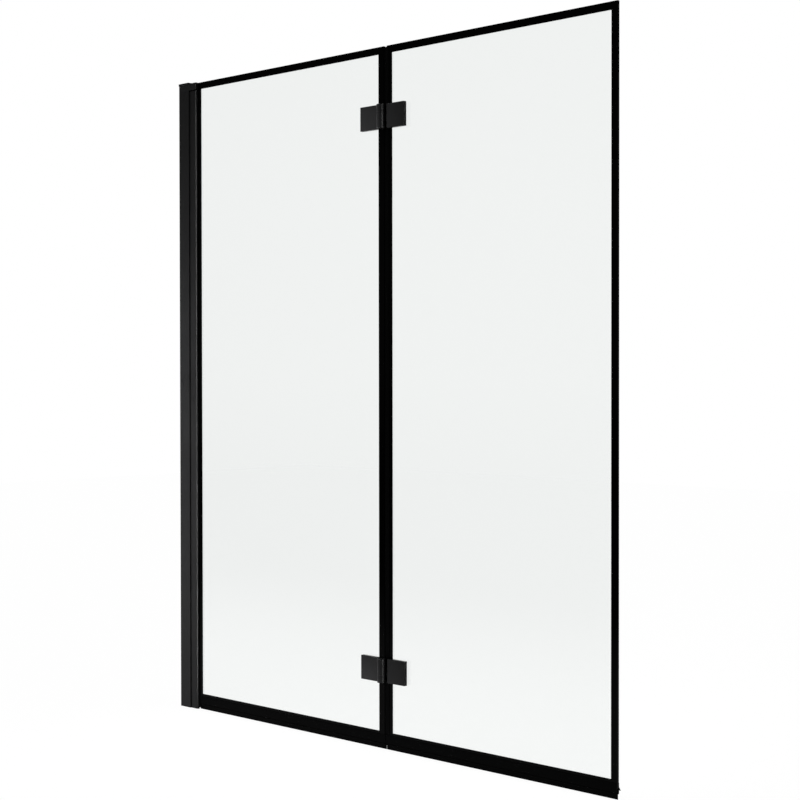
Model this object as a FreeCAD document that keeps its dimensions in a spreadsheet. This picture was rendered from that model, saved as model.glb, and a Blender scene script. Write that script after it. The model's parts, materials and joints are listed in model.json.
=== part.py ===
import FreeCAD, Part
import os
import re
import Sketcher

# Two-panel folding bath screen, in millimetres.
# X runs from the wall along the panes, -Y is the front, where the hinge barrels are, and Z is up.
# The origin is on the wall, in the middle plane of the panes, at the level of the bath rim.

SIZES = {
    # overall, with the height up to the tops of the panes
    "total_width": 1200,
    "total_height": 1400,
    "fold_line": 634,
    # panes and their printed border
    "glass_thickness": 5,
    "glass_foot": 20,
    "glass_start": 42,
    "glass_gap": 8,
    "gap_shift": 3,
    "border": 15,
    "outer_border": 13.5,
    "profile_border": 11.5,
    "print_thickness": 0.2,
    # wall channel
    "channel_depth": 33.5,
    "channel_wall": 1.8,
    "channel_web": 2,
    "wall_hole_radius": 2.75,
    "outer_hole_inset": 92.5,
    "inner_hole_span": 400,
    # sliding profile
    "slide_play": 0.3,
    "slide_travel": 8,
    "profile_back": 11,
    "profile_end": 57,
    "profile_width": 16,
    "profile_wall": 1.6,
    "pocket_depth": 17,
    "nose_radius": 4.8,
    "lip_play": 0.5,
    "gasket_length": 7.5,
    "block_foot": 6,
    "block_length": 12,
    # top cap
    "cap_height": 15,
    "cap_play": 2.5,
    "cap_overhang": 1.2,
    "crown_lap": 1.4,
    "crown_drop": 2.5,
    "crown_rise": 2.3,
    "cap_slot_play": 0.6,
    "cap_rounding": 3,
    "cap_leg_length": 7,
    "cap_leg_width": 11,
    "cap_leg_drop": 15,
    # lock screws of the wall channel
    "lock_reach": 25,
    "lock_inset": 200,
    "lock_radius": 1.75,
    "lock_play": 0.15,
    "lock_head_radius": 3.6,
    "lock_head_height": 2.4,
    "nut_side": 7,
    "nut_height": 3.2,
    "nut_play": 0.1,
    # hinges
    "upper_hinge_inset": 140,
    "lower_hinge_inset": 138.8,
    "leaf_height": 48,
    "leaf_reach": 60,
    "leaf_thickness": 6.5,
    "leaf_rounding": 0.8,
    "neck_inset": 3,
    "pad_thickness": 1,
    "rear_inset": 9,
    "rear_margin": 2,
    "rear_thickness": 4,
    "barrel_radius": 8.2,
    "barrel_height": 47,
    "barrel_clearance": 2.3,
    "barrel_play": 5.1,
    "knuckle_height": 15,
    "knuckle_play": 0.1,
    "pin_radius": 3,
    "pin_play": 0.05,
    "bush_wall": 1,
    "bush_length": 6,
    "flange_thickness": 0.6,
    "flange_inset": 0.4,
    # clamp screws of the hinges
    "clamp_reach": 36,
    "clamp_span": 24,
    "screw_radius": 2.5,
    "screw_play": 0.2,
    "screw_bite": 4,
    "screw_head_radius": 5,
    "socket_radius": 1.75,
    "socket_depth": 2,
    "glass_hole_radius": 7,
    "sleeve_play": 0.2,
    # bottom drip seals
    "seal_wall": 1.2,
    "seal_grip": 9,
    "seal_web_foot": 9.3,
    "bead_top": 11.4,
    "bead_out": 0.4,
    "groove_height": 0.9,
    "groove_depth": 0.7,
    "seal_start_play": 0.5,
    "seal_end_play": 0.2,
    "chamber_wall": 1.3,
    "lip_thickness": 1.2,
    "lip_gap": 1.3,
    "fin_root": 22,
    "fin_out": 4.6,
    "fin_drop": 7,
    "fin_thickness": 0.9,
    # upright seal in the gap between the panes
    "gap_seal_wall": 0.8,
    "gap_seal_leg": 6,
    "gap_seal_play": 0.3,
    "gap_seal_top_play": 2,
    "gap_seal_end_play": 1,
    "bulb_half_width": 2.2,
    "bulb_chamfer": 1.4,
    "bulb_wall": 0.8,
}

# Places worked out from the sizes above.
PLACES = {
    "half_glass": "(glass_thickness / 2)",
    "gap_middle": "(fold_line + gap_shift)",
    "fixed_edge": "(gap_middle - glass_gap / 2)",
    "folding_edge": "(gap_middle + glass_gap / 2)",
    "cap_foot": "(total_height - cap_height)",
    "channel_middle": "(cap_foot / 2)",
    "outer_hole_span": "(cap_foot - 2 * outer_hole_inset)",
    "lock_span": "(cap_foot - 2 * lock_inset)",
    "crown_half": "(channel_half + crown_lap)",
    "profile_top": "(cap_foot - cap_play)",
    "profile_half": "(profile_width / 2)",
    "profile_inner": "(profile_half - profile_wall)",
    "channel_inner": "(profile_half + slide_play)",
    "channel_half": "(channel_inner + channel_wall)",
    "pocket_floor": "(profile_end - pocket_depth)",
    "nose_start": "(profile_end - nose_radius)",
    "nose_lip": "(half_glass + lip_play)",
    "lock_hole_radius": "(lock_radius + lock_play)",
    "nut_face": "(profile_inner - nut_play)",
    "axis_y": "(0 - half_glass - barrel_clearance - barrel_radius)",
    "pad_front": "(0 - half_glass - pad_thickness)",
    "leaf_front": "(pad_front - leaf_thickness)",
    "rear_face": "(half_glass + pad_thickness + rear_thickness)",
    "rear_reach": "(leaf_reach - rear_inset)",
    "rear_height": "(leaf_height - 2 * rear_margin)",
    "leaf_root": "(barrel_radius + barrel_play)",
    "pad_root": "(gap_shift + glass_gap / 2 + gap_seal_leg + gap_seal_play)",
    "bush_radius": "(pin_radius + pin_play + bush_wall)",
    "flange_radius": "(barrel_radius - flange_inset)",
    "middle_knuckle": "(barrel_height - 2 * (knuckle_height + knuckle_play + flange_thickness))",
    "head_depth": "(screw_head_radius - screw_radius)",
    "screw_hole_radius": "(screw_radius + screw_play)",
    "upper_centre": "(total_height - upper_hinge_inset)",
    "lower_centre": "(glass_foot + lower_hinge_inset)",
    "seal_half": "(half_glass + seal_wall)",
    "seal_top": "(glass_foot + seal_grip)",
    "gap_seal_half": "(half_glass + gap_seal_wall)",
    "bulb_tip": "(fixed_edge + gap_seal_play)",
    "bulb_root": "(folding_edge - gap_seal_wall)",
}
HINGES = {"upper": "upper_centre", "lower": "lower_centre"}
LOCK_HEIGHTS = ("channel_middle - lock_span / 2", "channel_middle", "channel_middle + lock_span / 2")

SAME_PLACE = 1e-6

doc = FreeCAD.newDocument("bath_screen")
sheet = doc.addObject("Spreadsheet::Sheet", "Sizes")
for row, (alias, size) in enumerate(SIZES.items(), start=1):
    sheet.set("A%d" % row, alias)
    sheet.set("B%d" % row, str(size))
    sheet.setAlias("B%d" % row, alias)
doc.recompute()

sub_parts = []


def formula(text):
    """An expression on the sheet's cells, from sizes and places named in plain words."""

    def named(word):
        if word.group() in PLACES:
            return formula(PLACES[word.group()])
        if word.group() in SIZES:
            return "Sizes." + word.group()
        raise ValueError("no size is named " + word.group())

    return re.sub(r"[a-z_]+", named, str(text))


def bind(thing, **properties):
    """Ties an object's properties to the sheet; x, y and z are its place."""
    for name, text in properties.items():
        path = "Placement.Base." + name if name in ("x", "y", "z") else name
        thing.setExpression(path, formula(text))
    return thing


def finished(thing, label):
    """Names a sub-part and lists it to be written."""
    thing.Label = label
    sub_parts.append(thing)
    return thing


def box(x, y, z):
    """A block between two places on each axis."""
    block = doc.addObject("Part::Box", "Block")
    bind(block, x=x[0], y=y[0], z=z[0])
    return bind(
        block,
        Length="(%s) - (%s)" % (x[1], x[0]),
        Width="(%s) - (%s)" % (y[1], y[0]),
        Height="(%s) - (%s)" % (z[1], z[0]),
    )


ALONG = {
    "x": FreeCAD.Rotation(FreeCAD.Vector(0, 0, 1), FreeCAD.Vector(1, 0, 0)),
    "y": FreeCAD.Rotation(FreeCAD.Vector(0, 0, 1), FreeCAD.Vector(0, 1, 0)),
    "z": FreeCAD.Rotation(),
}


def turned(kind, place, along, **properties):
    """A round or prismatic solid that starts at a place and runs along an axis."""
    solid = doc.addObject(kind, kind.split("::")[1])
    solid.Placement = FreeCAD.Placement(FreeCAD.Vector(), ALONG[along])
    return bind(solid, x=place[0], y=place[1], z=place[2], **properties)


def rod(place, along, radius, length):
    return turned("Part::Cylinder", place, along, Radius=radius, Height=length)


def joined(*pieces):
    fused = doc.addObject("Part::MultiFuse", "Joined")
    fused.Shapes = list(pieces)
    fused.Refine = True
    return fused


def group(*pieces):
    """Separate solids that share one node."""
    held = doc.addObject("Part::Compound", "Group")
    held.Links = list(pieces)
    return held


def without(base, *tools):
    rest = doc.addObject("Part::Cut", "Without")
    rest.Base = base
    rest.Tool = tools[0] if len(tools) == 1 else group(*tools)
    return rest


def number(text):
    """The value that an expression has now."""
    probe = doc.addObject("App::FeaturePython", "Probe")
    probe.addProperty("App::PropertyFloat", "Value")
    bind(probe, Value=text)
    probe.recompute()
    value = probe.Value
    doc.removeObject(probe.Name)
    return value


def draw_loop(sketch, corners):
    """Closed lines whose corners are tied to the sheet."""
    first = sketch.GeometryCount
    count = len(corners)
    points = [FreeCAD.Vector(number(x), number(y), 0) for x, y in corners]
    for n in range(count):
        sketch.addGeometry(Part.LineSegment(points[n], points[(n + 1) % count]))
    for n in range(count):
        following = first + (n + 1) % count
        sketch.addConstraint(Sketcher.Constraint("Coincident", first + n, 2, following, 1))
    for n, (x, y) in enumerate(corners):
        for direction, text, value in (("DistanceX", x, points[n].x), ("DistanceY", y, points[n].y)):
            place = Sketcher.Constraint(direction, -1, 1, first + n, 1, value)
            bind(sketch, **{"Constraints[%d]" % sketch.addConstraint(place): text})


def extrusion(plane, loops, start, length, rounded=()):
    """A body padded from closed outlines.

    plane is XY_Plane, padded upwards, or YZ_Plane, padded away from the wall.
    rounded holds pairs of corner numbers, counted through all loops, and a radius.
    """
    body = doc.addObject("PartDesign::Body", "Body")
    sketch = body.newObject("Sketcher::SketchObject", "Section")
    planes = [feature for feature in body.Origin.OriginFeatures if feature.Role == plane]
    sketch.AttachmentSupport = [(planes[0], "")]
    sketch.MapMode = "FlatFace"
    for corners in loops:
        draw_loop(sketch, corners)
    pad = body.newObject("PartDesign::Pad", "Pad")
    pad.Profile = sketch
    bind(pad, Length=length)
    bind(body, **{"z" if plane == "XY_Plane" else "x": start})
    doc.recompute()
    for numbers, radius in rounded:
        round_corners(body, sketch, numbers, radius)
    return body


def round_corners(body, sketch, numbers, radius):
    """Rounds the edges that the numbered corners of the section draw along the pad."""
    base = body.Tip
    spots = [sketch.Geometry[n].StartPoint for n in numbers]
    to_section = sketch.Placement.inverse()
    edges = []
    for n, edge in enumerate(base.Shape.Edges, start=1):
        start, end = [to_section.multVec(vertex.Point) for vertex in (edge.firstVertex(), edge.lastVertex())]
        upright = start.x == end.x and start.y == end.y
        foot = FreeCAD.Vector(start.x, start.y, 0)
        if upright and any(spot.isEqual(foot, SAME_PLACE) for spot in spots):
            edges.append("Edge%d" % n)
    fillet = body.newObject("PartDesign::Fillet", "Rounding")
    fillet.Base = (base, edges)
    bind(fillet, Radius=radius)
    doc.recompute()


def beside(side, distance):
    """A place left (-) or right (+) of the fold line."""
    return "fold_line %s (%s)" % (side, distance)


def stretch(side, near, far):
    """Two places on one side of the fold line, the lower first."""
    places = (beside(side, near), beside(side, far))
    return places if side == "+" else places[::-1]


def around(middle, height):
    """Foot and top of what is centred on a height."""
    return ("%s - %s / 2" % (middle, height), "%s + %s / 2" % (middle, height))


def wall_channel():
    """U section with the wall screw holes in its web and the lock screw holes in its rear wall."""
    section = [
        ("0", "0 - channel_half"),
        ("channel_depth", "0 - channel_half"),
        ("channel_depth", "0 - channel_inner"),
        ("channel_web", "0 - channel_inner"),
        ("channel_web", "channel_inner"),
        ("channel_depth", "channel_inner"),
        ("channel_depth", "channel_half"),
        ("0", "channel_half"),
    ]
    body = extrusion("XY_Plane", [section], "0", "cap_foot")
    holes = []
    for span in ("outer_hole_span", "inner_hole_span"):
        for end in ("-", "+"):
            place = ("0 - channel_web", "0", "channel_middle %s %s / 2" % (end, span))
            holes.append(rod(place, "x", "wall_hole_radius", "3 * channel_web"))
    for height in LOCK_HEIGHTS:
        place = ("lock_reach", "profile_half", height)
        holes.append(rod(place, "y", "lock_hole_radius", "channel_half"))
    finished(without(body, *holes), "wall_channel")


def lock_screws():
    """Pan-head screws and their square nuts, which clamp the sliding profile's rear wall."""
    screws = []
    nuts = []
    for height in LOCK_HEIGHTS:
        inner = ("lock_reach", "nut_face - nut_height", height)
        outer = ("lock_reach", "channel_half", height)
        shank = rod(inner, "y", "lock_radius", "channel_half - nut_face + nut_height")
        head = rod(outer, "y", "lock_head_radius", "lock_head_height")
        socket = hexagon(("lock_reach", "channel_half + lock_head_height / 3", height), "lock_head_height")
        screws.append(without(joined(shank, head), socket))
        block = box(
            ("lock_reach - nut_side / 2", "lock_reach + nut_side / 2"),
            ("nut_face - nut_height", "nut_face"),
            ("%s - nut_side / 2" % height, "%s + nut_side / 2" % height),
        )
        thread = rod(inner, "y", "lock_radius", "nut_height")
        nuts.append(without(block, thread))
    finished(group(*screws), "lock_screws")
    finished(group(*nuts), "clamp_nuts")


def hexagon(place, depth):
    """A six-sided driving socket that opens towards the rear."""
    socket = turned("Part::Prism", place, "y", Circumradius="socket_radius", Height=depth)
    socket.Polygon = 6
    return socket


def top_cap():
    """Cap over channel and sliding profile, with a raised crown and a slot that lets the pane slide."""
    end = "profile_end + cap_overhang"
    slot = "glass_start - slide_travel - cap_slot_play"
    slot_half = "(half_glass + cap_slot_play)"
    section = [
        ("0", "0 - channel_half"),
        (end, "0 - channel_half"),
        (end, "0 - " + slot_half),
        (slot, "0 - " + slot_half),
        (slot, slot_half),
        (end, slot_half),
        (end, "channel_half"),
        ("0", "channel_half"),
    ]
    cover = extrusion("XY_Plane", [section], "cap_foot", "cap_height", [((1, 6), "cap_rounding")])
    crown = box(
        ("0", "channel_depth"),
        ("0 - crown_half", "crown_half"),
        ("total_height - crown_drop", "total_height + crown_rise"),
    )
    leg = box(
        ("channel_web", "channel_web + cap_leg_length"),
        ("0 - cap_leg_width / 2", "cap_leg_width / 2"),
        ("cap_foot - cap_leg_drop", "cap_foot"),
    )
    finished(joined(cover, crown, leg), "top_cap")


def sliding_profile():
    """Section with a pocket for the pane, a rounded nose and an open back, slotted for the lock screws."""
    lip_back = "profile_end - profile_wall"
    web_back = "pocket_floor - profile_wall"
    section = [
        ("profile_back", "0 - profile_half"),
        ("profile_end", "0 - profile_half"),
        ("profile_end", "0 - nose_lip"),
        (lip_back, "0 - nose_lip"),
        (lip_back, "0 - profile_inner"),
        ("pocket_floor", "0 - profile_inner"),
        ("pocket_floor", "profile_inner"),
        (lip_back, "profile_inner"),
        (lip_back, "nose_lip"),
        ("profile_end", "nose_lip"),
        ("profile_end", "profile_half"),
        ("profile_back", "profile_half"),
        ("profile_back", "profile_inner"),
        (web_back, "profile_inner"),
        (web_back, "0 - profile_inner"),
        ("profile_back", "0 - profile_inner"),
    ]
    rounded = [((1, 10), "nose_radius"), ((4, 7), "nose_radius - profile_wall")]
    body = extrusion("XY_Plane", [section], "0", "profile_top", rounded)
    slots = []
    for height in LOCK_HEIGHTS:
        middle = box(
            ("lock_reach - slide_travel", "lock_reach + slide_travel"),
            ("0", "profile_width"),
            ("%s - lock_hole_radius" % height, "%s + lock_hole_radius" % height),
        )
        ends = [
            rod(("lock_reach %s slide_travel" % end, "0", height), "y", "lock_hole_radius", "profile_width")
            for end in ("-", "+")
        ]
        slots.append(joined(middle, *ends))
    finished(without(body, *slots), "sliding_profile")


def glazing():
    """What holds the fixed pane in the sliding profile's pocket."""
    along = ("nose_start - gasket_length", "nose_start")
    upright = ("glass_foot", "profile_top")
    finished(box(along, ("0 - profile_inner", "0 - half_glass"), upright), "front_glazing_gasket")
    finished(box(along, ("half_glass", "profile_inner"), upright), "rear_glazing_gasket")
    block = box(
        ("pocket_floor", "pocket_floor + block_length"),
        ("0 - profile_inner", "profile_inner"),
        ("block_foot", "glass_foot"),
    )
    finished(block, "setting_block")


def pane(name, side, edges, clear):
    """A pane with its hinge holes, and the black border on its front face and round its edges."""
    through = ("0 - half_glass", "half_glass")
    behind = ("print_thickness - half_glass", "half_glass")
    inner_edges = (edges[0] + " + print_thickness", edges[1] + " - print_thickness")
    inner_upright = ("glass_foot + print_thickness", "total_height - print_thickness")
    core = box(inner_edges, behind, inner_upright)
    window = box(clear, through, ("glass_foot + border", "total_height - border"))
    glass = joined(core, window)
    whole = box(edges, through, ("glass_foot", "total_height"))
    finished(without(whole, glass), name + "_pane_border")
    holes = [
        rod((x, "0 - glass_thickness", z), "y", "glass_hole_radius", "2 * glass_thickness")
        for centre in HINGES.values()
        for x, z in clamp_places(side, centre)
    ]
    finished(without(glass, *holes), name + "_pane")


def clamp_places(side, centre):
    """Where the two clamp screws of a hinge leaf pass through the pane."""
    return [(beside(side, "clamp_reach"), "%s %s clamp_span / 2" % (centre, end)) for end in ("-", "+")]


def drip_seal(name, start, end):
    """Seal that grips a pane's lower edge.

    It has a chamber, a bead under a groove at the front, a lip on the bath rim and a slanted fin at the rear.
    """
    section = [
        ("0 - seal_half", "seal_top"),
        ("0 - seal_half", "bead_top + groove_height"),
        ("groove_depth - seal_half", "bead_top + groove_height"),
        ("groove_depth - seal_half", "bead_top"),
        ("0 - seal_half - bead_out", "bead_top"),
        ("0 - seal_half - bead_out", "seal_web_foot"),
        ("0 - lip_thickness / 2", "seal_web_foot"),
        ("0 - lip_thickness / 2", "0"),
        ("lip_thickness / 2", "0"),
        ("lip_thickness / 2", "seal_web_foot"),
        ("seal_half", "seal_web_foot"),
        ("seal_half", "fin_root - 2 * fin_thickness"),
        ("seal_half + fin_out", "fin_root - fin_drop - fin_thickness"),
        ("seal_half + fin_out", "fin_root - fin_drop"),
        ("seal_half", "fin_root"),
        ("seal_half", "seal_top"),
        ("half_glass", "seal_top"),
        ("half_glass", "glass_foot"),
        ("0 - half_glass", "glass_foot"),
        ("0 - half_glass", "seal_top"),
    ]
    chamber = [
        ("chamber_wall - seal_half", "seal_web_foot + chamber_wall"),
        ("seal_half - chamber_wall", "seal_web_foot + chamber_wall"),
        ("seal_half - chamber_wall", "glass_foot - chamber_wall"),
        ("chamber_wall - seal_half", "glass_foot - chamber_wall"),
    ]
    body = extrusion("YZ_Plane", [section, chamber], start, "(%s) - (%s)" % (end, start))
    finished(body, name + "_drip_seal")


def gap_seal():
    """Seal clipped on the folding pane's edge behind the hinges, with a hollow bulb that closes the gap."""
    foot = "seal_top + gap_seal_end_play"
    top = "total_height - gap_seal_top_play"
    leg_end = "folding_edge + gap_seal_leg"
    bulb_flat = "(bulb_half_width - bulb_chamfer)"
    section = [
        (leg_end, "0 - half_glass"),
        ("folding_edge", "0 - half_glass"),
        ("folding_edge", "half_glass"),
        (leg_end, "half_glass"),
        (leg_end, "gap_seal_half"),
        ("bulb_root", "gap_seal_half"),
        ("bulb_root", "bulb_half_width"),
        ("bulb_tip + bulb_chamfer", "bulb_half_width"),
        ("bulb_tip", bulb_flat),
        ("bulb_tip", "0 - " + bulb_flat),
        ("bulb_tip + bulb_chamfer", "0 - bulb_half_width"),
        ("bulb_root", "0 - bulb_half_width"),
        ("bulb_root", "0 - gap_seal_half"),
        (leg_end, "0 - gap_seal_half"),
    ]
    hollow = [
        ("bulb_tip + 2 * bulb_wall", "bulb_wall - bulb_half_width"),
        ("bulb_root", "bulb_wall - bulb_half_width"),
        ("bulb_root", "bulb_half_width - bulb_wall"),
        ("bulb_tip + 2 * bulb_wall", "bulb_half_width - bulb_wall"),
    ]
    body = extrusion("XY_Plane", [section, hollow], foot, "(%s) - (%s)" % (top, foot))
    finished(body, "gap_seal")


def leaf(name, side, centre, knuckles, bore):
    """A front plate with its knuckles on set-back necks, threaded from behind for the clamp screws.

    knuckles holds the foot and top of each, and bore is the radius through them.
    """
    near, far = beside(side, "leaf_root"), beside(side, "leaf_reach")
    outline = [(far, "leaf_front"), (near, "leaf_front"), (near, "pad_front"), (far, "pad_front")]
    plate_foot = around(centre, "leaf_height")[0]
    plate = extrusion("XY_Plane", [outline], plate_foot, "leaf_height", [((0,), "leaf_rounding")])
    neck_depth = ("leaf_front + neck_inset", "pad_front")
    pieces = [plate]
    for foot, top in knuckles:
        pieces.append(rod(("fold_line", "axis_y", foot), "z", "barrel_radius", "%s - (%s)" % (top, foot)))
        pieces.append(box(stretch(side, "0", "leaf_root"), neck_depth, (foot, top)))
    cuts = [rod(("fold_line", "axis_y", "%s - barrel_height" % centre), "z", bore, "2 * barrel_height")]
    for x, z in clamp_places(side, centre):
        cuts.append(rod((x, "pad_front - screw_bite", z), "y", "screw_radius", "screw_bite + pad_thickness"))
    finished(without(joined(*pieces), *cuts), name + "_leaf")


def clamping(name, side, centre):
    """What clamps a leaf to its pane: pads, a smaller rear plate, screws and sleeves."""
    places = clamp_places(side, centre)
    front = (stretch(side, "pad_root", "leaf_reach"), around(centre, "leaf_height"))
    rear = (stretch(side, "pad_root", "rear_reach"), around(centre, "rear_height"))
    pads = {
        "front_pad": (front, ("pad_front", "0 - half_glass")),
        "rear_pad": (rear, ("half_glass", "half_glass + pad_thickness")),
    }
    for pad, ((along, upright), depth) in pads.items():
        holes = [rod((x, depth[0], z), "y", "screw_hole_radius", "pad_thickness") for x, z in places]
        finished(without(box(along, depth, upright), *holes), name + "_" + pad)
    plate = box(rear[0], ("half_glass + pad_thickness", "rear_face"), rear[1])
    holes = []
    screws = []
    sleeves = []
    for x, z in places:
        holes.append(rod((x, "half_glass", z), "y", "screw_hole_radius", "pad_thickness + rear_thickness"))
        holes.append(countersink(x, z))
        shank_length = "rear_face - pad_front + screw_bite"
        shank = rod((x, "pad_front - screw_bite", z), "y", "screw_radius", shank_length)
        socket = hexagon((x, "rear_face - socket_depth", z), "2 * socket_depth")
        screws.append(without(joined(shank, countersink(x, z)), socket))
        tube = rod((x, "0 - half_glass", z), "y", "glass_hole_radius - sleeve_play", "glass_thickness")
        bore = rod((x, "0 - half_glass", z), "y", "screw_hole_radius", "glass_thickness")
        sleeves.append(without(tube, bore))
    finished(without(plate, *holes), name + "_rear_plate")
    finished(group(*screws), name + "_clamp_screws")
    finished(group(*sleeves), name + "_sleeves")


def countersink(x, z):
    """The cone of a countersunk head, flush with the rear plate."""
    cone = turned("Part::Cone", (x, "rear_face - head_depth", z), "y", Height="head_depth")
    return bind(cone, Radius1="screw_radius", Radius2="screw_head_radius")


def hinge(name, centre):
    """Hinge of three knuckles: two and the pin on the fixed leaf, the middle one on the folding leaf."""
    foot, top = around(centre, "barrel_height")
    outer = [(foot, "%s + knuckle_height" % foot), ("%s - knuckle_height" % top, top)]
    middle = around(centre, "middle_knuckle")
    leaf(name + "_fixed", "-", centre, outer, "pin_radius")
    leaf(name + "_folding", "+", centre, [middle], "bush_radius")
    clamping(name + "_fixed", "-", centre)
    clamping(name + "_folding", "+", centre)
    finished(rod(("fold_line", "axis_y", foot), "z", "pin_radius", "barrel_height"), name + "_pin")
    bushes = [
        bush("%s - flange_thickness" % middle[0], middle[0]),
        bush(middle[1], "%s - bush_length" % middle[1]),
    ]
    finished(group(*bushes), name + "_bushes")


def bush(flange_foot, tube_foot):
    """A flanged bush in one end of the middle knuckle, running on the pin."""
    flange = rod(("fold_line", "axis_y", flange_foot), "z", "flange_radius", "flange_thickness")
    tube = rod(("fold_line", "axis_y", tube_foot), "z", "bush_radius", "bush_length")
    bore_foot = "%s - 2 * bush_length" % tube_foot
    bore = rod(("fold_line", "axis_y", bore_foot), "z", "pin_radius + pin_play", "4 * bush_length")
    return without(joined(flange, tube), bore)


wall_channel()
lock_screws()
top_cap()
sliding_profile()
glazing()
fixed_edges = ("glass_start", "fixed_edge")
pane("fixed", "-", fixed_edges, ("profile_end + profile_border", "fixed_edge - border"))
folding_edges = ("folding_edge", "total_width")
pane("folding", "+", folding_edges, ("folding_edge + border", "total_width - outer_border"))
drip_seal("fixed", "profile_end + seal_start_play", "gap_middle - lip_gap / 2")
drip_seal("folding", "gap_middle + lip_gap / 2", "total_width - seal_end_play")
gap_seal()
for hinge_name, hinge_centre in HINGES.items():
    hinge(hinge_name, hinge_centre)
doc.recompute()

failed = [thing.Label for thing in doc.Objects if {"Invalid", "Error"} & set(thing.State)]
failed += [piece.Label for piece in sub_parts if piece.Shape.isNull() or not piece.Shape.isValid()]
if failed:
    raise SystemExit("these objects failed: " + ", ".join(failed))

os.makedirs("parts", exist_ok=True)
for piece in sub_parts:
    piece.Shape.exportStep("parts/%s.step" % piece.Label)
print(len(sub_parts), "sub-parts written")
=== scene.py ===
import json
import math

import bpy
from mathutils import Matrix, Vector


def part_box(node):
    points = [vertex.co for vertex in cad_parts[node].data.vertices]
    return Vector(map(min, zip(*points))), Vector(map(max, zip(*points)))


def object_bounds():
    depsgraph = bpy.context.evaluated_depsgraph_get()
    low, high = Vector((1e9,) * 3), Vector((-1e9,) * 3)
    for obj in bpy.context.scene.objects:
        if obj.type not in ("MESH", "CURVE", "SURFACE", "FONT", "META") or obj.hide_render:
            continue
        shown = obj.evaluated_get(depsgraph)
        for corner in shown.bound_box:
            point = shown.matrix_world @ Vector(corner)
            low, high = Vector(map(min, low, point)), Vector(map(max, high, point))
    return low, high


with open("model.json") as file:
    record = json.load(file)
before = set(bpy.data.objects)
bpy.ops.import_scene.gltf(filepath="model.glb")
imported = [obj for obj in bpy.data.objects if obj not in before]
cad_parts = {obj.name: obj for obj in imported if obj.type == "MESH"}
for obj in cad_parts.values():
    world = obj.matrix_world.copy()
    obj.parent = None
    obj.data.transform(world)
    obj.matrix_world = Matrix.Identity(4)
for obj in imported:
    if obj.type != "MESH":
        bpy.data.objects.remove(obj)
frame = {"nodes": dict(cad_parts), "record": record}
cad_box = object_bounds()
scene = bpy.context.scene
scene.view_settings.view_transform = "Standard"

SLOT_OF = {part["node"]: part["material_slot"] for part in frame["record"]["subparts"]}
MIDDLE = (Vector(cad_box[0]) + Vector(cad_box[1])) / 2

# Lengths are in metres, lamp powers in watts, and brightness is 1 at white.

# Camera: stands in front and to the right of the screen, at mid height.
EYE = Vector((2.860, -2.311, 0.743))
YAW = math.radians(43.41)
PITCH_DOWN = math.radians(0.814)
ROLL = math.radians(-0.069)
LENS_MM = 72.48
SENSOR_MM = 36.0
AHEAD = Vector((-math.sin(YAW), math.cos(YAW), 0))
ACROSS = Vector((math.cos(YAW), math.sin(YAW), 0))
DOWN = Vector((0, 0, -1))

# Edges: rounding by the finish of the piece, and what counts as joined, as flat and as sharp.
EDGE_ROUND = {
    "black_profile": 0.0005,
    "black_cap": 0.0005,
    "black_hinge": 0.0005,
    "steel": 0.0002,
    "black_seal": 0.0002,
}
EDGE_SEGMENTS = 2
WELD_DISTANCE = 0.00001
FLAT_ANGLE = math.radians(0.5)
EDGE_ANGLE = math.radians(40)

# Patterns: how a noise is stretched, the part of its range that is used, and the scale of the clouding.
EVEN = (1, 1, 1)
DRAWN_UPWARD = (1, 1, 0.04)
NOISE_RANGE = (0.3, 0.7)
CLOUD_SCALE = 14.0
BLUE_TRACE = 1.03

# Glass: its tint, the light that a pane lets through to what is behind it, and its roller wave.
GLASS_TINT = (0.905, 0.922, 0.913, 1)
GLASS_SHADE = (0.9, 0.92, 0.91, 1)
GLASS_IOR = 1.5
WAVE_SCALE = 6.0
WAVE_STRETCH = (1, 1, 0.3)
WAVE_STRENGTH = 0.05
WAVE_DEPTH = 0.0005

# Surroundings: the backdrop's edge is given by the cosine to the camera's heading.
WHITE = (1, 1, 1, 1)
SOFT_LIGHT = (0.10, 0.10, 0.10, 1)
BACKDROP_EDGE = (0.1, 0.5)
# Room mirrored from the front: the range of slopes on its ramp, then places on it with their brightness.
ROOM_SLOPES = (-0.1, 0.3)
ROOM_STOPS = ((0.11, 0.0), (0.25, 0.25), (0.52, 0.25), (0.90, 0.05))
# Floor: its mirrored white fades between two distances from the plane of the panes.
FLOOR_HALF = 7.0
FLOOR_LEVEL = -0.0005
FLOOR_PAINT = (0.15, 0.15, 0.15, 1)
FLOOR_GLOW = (0.97, 0.97, 0.97, 1)
FLOOR_FADE = (0.3, 2.1)

# Lamps: what the small ones shine on, and where one stands from the middle of each hinge pin.
PROFILE_SLOTS = ("black_profile", "black_cap")
HINGE_SLOTS = ("black_hinge",)
HINGE_FILL_OFFSET = Vector((-0.065, -0.122, -0.05))
TO_THE_BACK = Vector((0, 1, 0))

# Sockets of a Mix node when it mixes colours.
MIX_FACTOR = 0
MIX_FIRST = 6
MIX_SECOND = 7
MIX_RESULT = 2


def add_camera():
    forward = math.cos(PITCH_DOWN) * AHEAD + math.sin(PITCH_DOWN) * DOWN
    upright = ACROSS.cross(forward)
    right = math.cos(ROLL) * ACROSS + math.sin(ROLL) * upright
    up = right.cross(forward)
    data = bpy.data.cameras.new("camera")
    data.lens = LENS_MM
    data.sensor_width = SENSOR_MM
    camera = bpy.data.objects.new("camera", data)
    turn = Matrix((right, up, -forward)).transposed().to_4x4()
    camera.matrix_world = Matrix.Translation(EYE) @ turn
    scene.collection.objects.link(camera)
    scene.camera = camera


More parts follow.
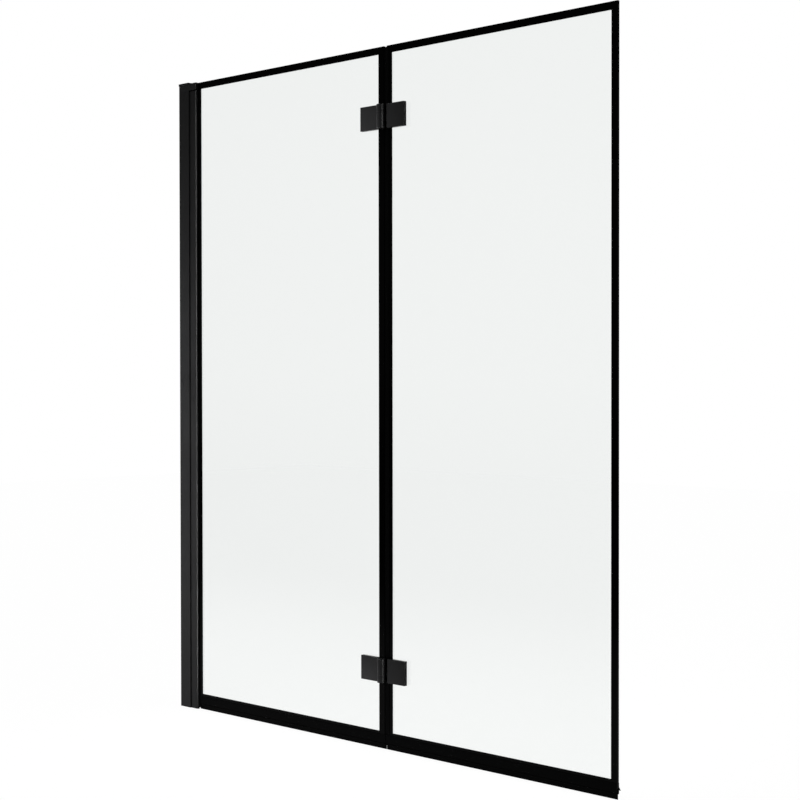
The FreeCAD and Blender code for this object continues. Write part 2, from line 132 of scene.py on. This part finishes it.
class Nodes:
    """Short calls for building one node tree."""

    def __init__(self, tree):
        self.tree = tree
        self.tree.nodes.clear()

    def add(self, kind, inputs=None, **settings):
        """A new node; each input takes a plain value or the output of another node."""
        node = self.tree.nodes.new("ShaderNode" + kind)
        for name, value in settings.items():
            setattr(node, name, value)
        for socket, value in (inputs or {}).items():
            if isinstance(value, bpy.types.NodeSocket):
                self.tree.links.new(value, node.inputs[socket])
            else:
                node.inputs[socket].default_value = value
        return node

    def calculate(self, operation, *values):
        node = self.add("Math", dict(enumerate(values)), operation=operation)
        return node.outputs["Value"]

    def noise(self, scale, detail, stretch=EVEN):
        """A noise between 0 and 1, laid out in metres."""
        place = self.add("TexCoord")
        layout = self.add("Mapping", {"Vector": place.outputs["Object"], "Scale": stretch})
        noise = self.add("TexNoise", {"Vector": layout.outputs["Vector"], "Scale": scale, "Detail": detail})
        return noise.outputs["Fac"]

    def spread(self, value, low, high, source=NOISE_RANGE, curve="LINEAR"):
        """Maps the source range to the range from low to high, and holds it at both ends."""
        inputs = {"Value": value, "From Min": source[0], "From Max": source[1], "To Min": low, "To Max": high}
        node = self.add("MapRange", inputs, interpolation_type=curve)
        return node.outputs["Result"]

    def blend(self, factor, first, second):
        inputs = {MIX_FACTOR: factor, MIX_FIRST: first, MIX_SECOND: second}
        node = self.add("Mix", inputs, data_type="RGBA")
        return node.outputs[MIX_RESULT]

    def choose(self, factor, first, second):
        """The first shader where the factor is 0, the second where it is 1."""
        node = self.add("MixShader", {0: factor, 1: first, 2: second})
        return node.outputs["Shader"]

    def ramp(self, factor, stops):
        node = self.add("ValToRGB", {"Fac": factor})
        elements = node.color_ramp.elements
        while len(elements) < len(stops):
            elements.new(1.0)
        for element, (place, level) in zip(elements, stops):
            element.position = place
            element.color = (level, level, level, 1)
        return node.outputs["Color"]

    def bump(self, height, strength, depth):
        node = self.add("Bump", {"Height": height, "Strength": strength, "Distance": depth})
        return node.outputs["Normal"]

    def any_ray(self, *rays):
        """1 for a ray of one of the named kinds, else 0."""
        path = self.add("LightPath")
        result = path.outputs[rays[0]]
        for ray in rays[1:]:
            result = self.calculate("MAXIMUM", result, path.outputs[ray])
        return result

    def backdrop(self, direction):
        """1 in the directions of the white backdrop behind the screen, 0 in the others."""
        ahead = self.add("VectorMath", {0: direction, 1: AHEAD}, operation="DOT_PRODUCT")
        return self.spread(ahead.outputs["Value"], 0, 1, BACKDROP_EDGE)


def new_material(name):
    material = bpy.data.materials.new(name)
    material.use_nodes = True
    return material, Nodes(material.node_tree)


def grey(level):
    return (level, level, level * BLUE_TRACE, 1)


def surface(name, shades, roughness, specular, grain, relief, stretch=EVEN, metallic=0.0):
    """A solid finish: clouded between two shades, with uneven gloss and a fine grain.

    The grain is a noise scale, and its relief is a strength and a depth.
    """
    material, nodes = new_material(name)
    clouds = nodes.spread(nodes.noise(CLOUD_SCALE, detail=4.0), 0, 1)
    fine = nodes.noise(grain, detail=3.0, stretch=stretch)
    shader = nodes.add("BsdfPrincipled", {
        "Base Color": nodes.blend(clouds, *map(grey, shades)),
        "Metallic": metallic,
        "Roughness": nodes.spread(fine, *roughness),
        "Specular IOR Level": specular,
        "Normal": nodes.bump(fine, *relief),
    })
    nodes.add("OutputMaterial", {"Surface": shader.outputs["BSDF"]})
    return material


def powder_coat():
    return surface(
        "powder_coat", shades=(0.021, 0.025), roughness=(0.28, 0.36), specular=0.08,
        grain=1400, relief=(0.25, 0.00006))


def moulded_cap():
    return surface(
        "moulded_cap", shades=(0.021, 0.025), roughness=(0.36, 0.46), specular=0.08,
        grain=2600, relief=(0.3, 0.00005))


def satin_hinge():
    return surface(
        "satin_hinge", shades=(0.024, 0.029), roughness=(0.34, 0.40), specular=0.06,
        grain=1800, relief=(0.2, 0.00004))


def fired_enamel():
    return surface(
        "fired_enamel", shades=(0.002, 0.004), roughness=(0.07, 0.13), specular=0.03,
        grain=3000, relief=(0.04, 0.00002))


def extruded_vinyl():
    return surface(
        "extruded_vinyl", shades=(0.004, 0.006), roughness=(0.40, 0.52), specular=0.02,
        grain=2200, relief=(0.2, 0.00004), stretch=DRAWN_UPWARD)


def soft_rubber():
    return surface(
        "soft_rubber", shades=(0.015, 0.022), roughness=(0.62, 0.78), specular=0.3,
        grain=3200, relief=(0.35, 0.00005))


def black_nylon():
    return surface(
        "black_nylon", shades=(0.016, 0.024), roughness=(0.42, 0.52), specular=0.3,
        grain=1600, relief=(0.2, 0.00004))


def plain_steel():
    return surface(
        "plain_steel", shades=(0.50, 0.58), roughness=(0.24, 0.38), specular=0.5,
        grain=2400, relief=(0.25, 0.00003), stretch=DRAWN_UPWARD, metallic=1.0)


def clear_glass():
    """Toughened glass with a faint roller wave; lamps shine straight through it."""
    material, nodes = new_material("clear_glass")
    wave = nodes.noise(WAVE_SCALE, detail=1.0, stretch=WAVE_STRETCH)
    shader = nodes.add("BsdfPrincipled", {
        "Base Color": GLASS_TINT,
        "Roughness": 0.0,
        "IOR": GLASS_IOR,
        "Transmission Weight": 1.0,
        "Normal": nodes.bump(wave, WAVE_STRENGTH, WAVE_DEPTH),
    })
    clear = nodes.add("BsdfTransparent", {"Color": GLASS_SHADE})
    in_shadow = nodes.any_ray("Is Shadow Ray")
    chosen = nodes.choose(in_shadow, shader.outputs["BSDF"], clear.outputs["BSDF"])
    nodes.add("OutputMaterial", {"Surface": chosen})
    return material


def soften(node, width):
    """Rounds the sharp edges of a piece, as a press or a mould leaves them."""
    weld = node.modifiers.new("weld", "WELD")
    weld.merge_threshold = WELD_DISTANCE
    flat = node.modifiers.new("flat_faces", "DECIMATE")
    flat.decimate_type = "DISSOLVE"
    flat.angle_limit = FLAT_ANGLE
    edge = node.modifiers.new("edges", "BEVEL")
    edge.width = width
    edge.segments = EDGE_SEGMENTS
    edge.limit_method = "ANGLE"
    edge.angle_limit = EDGE_ANGLE
    shade = node.modifiers.new("shading", "WEIGHTED_NORMAL")
    shade.keep_sharp = True


def dress_nodes():
    """Gives every node the finish of its slot, and rounded edges where that finish has them."""
    finishes = {
        "black_profile": powder_coat(),
        "black_cap": moulded_cap(),
        "black_hinge": satin_hinge(),
        "black_print": fired_enamel(),
        "black_seal": extruded_vinyl(),
        "black_rubber": soft_rubber(),
        "nylon": black_nylon(),
        "steel": plain_steel(),
        "clear_glass": clear_glass(),
    }
    for name, node in frame["nodes"].items():
        slot = SLOT_OF[name]
        node.data.materials.clear()
        node.data.materials.append(finishes[slot])
        if slot in EDGE_ROUND:
            soften(node, EDGE_ROUND[slot])


def light_world():
    """White behind and through the screen, a darker room mirrored from the front, a little soft light."""
    world = bpy.data.worlds.new("studio")
    world.use_nodes = True
    scene.world = world
    nodes = Nodes(world.node_tree)
    place = nodes.add("TexCoord")
    way = nodes.add("SeparateXYZ", {"Vector": place.outputs["Generated"]})
    room = nodes.ramp(nodes.spread(way.outputs["Z"], 0, 1, ROOM_SLOPES), ROOM_STOPS)
    mirrored = nodes.blend(nodes.backdrop(place.outputs["Generated"]), room, WHITE)
    soft, mirror, white = (
        nodes.add("Background", {"Color": colour}).outputs["Background"]
        for colour in (SOFT_LIGHT, mirrored, WHITE)
    )
    lit = nodes.choose(nodes.any_ray("Is Glossy Ray"), soft, mirror)
    seen = nodes.choose(nodes.any_ray("Is Camera Ray", "Is Transmission Ray"), lit, white)
    nodes.add("OutputWorld", {"Surface": seen})


def floor_paint():
    """Matt paint that is seen as white; mirrored, it is white near the screen and below the backdrop."""
    material, nodes = new_material("floor_paint")
    place = nodes.add("TexCoord")
    way = nodes.add("SeparateXYZ", {"Vector": place.outputs["Object"]})
    distance = nodes.calculate("ABSOLUTE", way.outputs["Y"])
    near = nodes.spread(distance, 1, 0, FLOOR_FADE, "SMOOTHSTEP")
    outward = nodes.add(
        "VectorMath", {0: place.outputs["Object"], 1: (MIDDLE.x, 0, 0)}, operation="SUBTRACT")
    bearing = nodes.add("VectorMath", {0: outward.outputs["Vector"]}, operation="NORMALIZE")
    white = nodes.calculate("MAXIMUM", near, nodes.backdrop(bearing.outputs["Vector"]))
    mirrored = nodes.calculate("MULTIPLY", white, nodes.any_ray("Is Glossy Ray"))
    seen = nodes.any_ray("Is Camera Ray", "Is Transmission Ray")
    strength = nodes.calculate("MAXIMUM", seen, mirrored)
    matt = nodes.add("BsdfDiffuse", {"Color": FLOOR_PAINT})
    glow = nodes.add("Emission", {"Color": FLOOR_GLOW, "Strength": strength})
    both = nodes.add("AddShader", {0: matt.outputs["BSDF"], 1: glow.outputs["Emission"]})
    nodes.add("OutputMaterial", {"Surface": both.outputs["Shader"]})
    return material


def add_floor():
    """A plain floor just under the screen, which takes its soft shadow."""
    corners = [
        (x * FLOOR_HALF, y * FLOOR_HALF, FLOOR_LEVEL)
        for x, y in ((-1, -1), (1, -1), (1, 1), (-1, 1))
    ]
    mesh = bpy.data.meshes.new("floor")
    mesh.from_pydata(corners, [], [(0, 1, 2, 3)])
    mesh.materials.append(floor_paint())
    floor = bpy.data.objects.new("floor", mesh)
    scene.collection.objects.link(floor)


def add_lamp(name, kind, place, target, **settings):
    data = bpy.data.lights.new(name, kind)
    for key, value in settings.items():
        setattr(data, key, value)
    lamp = bpy.data.objects.new(name, data)
    lamp.location = place
    lamp.rotation_euler = (Vector(target) - Vector(place)).to_track_quat("-Z", "Y").to_euler()
    lamp.visible_camera = False
    lamp.visible_transmission = False
    scene.collection.objects.link(lamp)
    return lamp


def only_on(lamp, slots):
    """Lets a lamp shine on the pieces of the named finishes alone."""
    lit = bpy.data.collections.new(lamp.name + "_lights")
    for name, node in frame["nodes"].items():
        if SLOT_OF[name] in slots:
            lit.objects.link(node)
    lamp.light_linking.receiver_collection = lit


def add_sun(name, place, strength, spread):
    """A soft sun that isn't mirrored; it shines from the place to the origin."""
    sun = add_lamp(name, "SUN", place, (0, 0, 0), energy=strength, angle=math.radians(spread))
    sun.visible_glossy = False
    return sun


def add_panel(name, place, target, power, width, height, slots, mirrored):
    """A rectangular lamp for some finishes; it either lights them softly or is only mirrored in them."""
    panel = add_lamp(
        name, "AREA", place, target, energy=power, shape="RECTANGLE", size=width, size_y=height)
    panel.visible_glossy = mirrored
    panel.visible_diffuse = not mirrored
    only_on(panel, slots)


def light_profile():
    """A soft strip from the left of the wall profile, and one in front that draws a line on its nose."""
    add_panel(
        "profile_fill", place=(-0.22, -0.31, 0.57), target=(0.035, 0.0, 0.57),
        power=3.05, width=0.06, height=0.86, slots=PROFILE_SLOTS, mirrored=False)
    add_panel(
        "nose_strip", place=(0.157, -0.34, 0.70), target=(0.055, 0.0, 0.735),
        power=18.0, width=0.05, height=1.5, slots=PROFILE_SLOTS, mirrored=True)


def light_hinges():
    """A small soft lamp in front of each hinge, and a strip at the side that draws a line on the barrels."""
    for pin in ("upper_pin", "lower_pin"):
        low, high = (Vector(corner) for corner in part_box(pin))
        place = (low + high) / 2 + HINGE_FILL_OFFSET
        add_panel(
            pin + "_fill", place=place, target=place + TO_THE_BACK,
            power=0.175, width=0.03, height=0.03, slots=HINGE_SLOTS, mirrored=False)
    add_panel(
        "barrel_strip", place=(1.128, -0.032, 0.7), target=(0.64, -0.016, 0.7),
        power=17.0, width=0.03, height=1.4, slots=HINGE_SLOTS, mirrored=True)


def add_lamps():
    add_sun("side_sun", place=(-2.6, -0.9, 2.0), strength=0.3, spread=40)
    rear_sun = add_sun("rear_sun", place=(-1.2, 2.4, 0.5), strength=2.2, spread=30)
    only_on(rear_sun, SLOT_OF.values())
    light_profile()
    light_hinges()


add_camera()
dress_nodes()
light_world()
add_floor()
add_lamps()
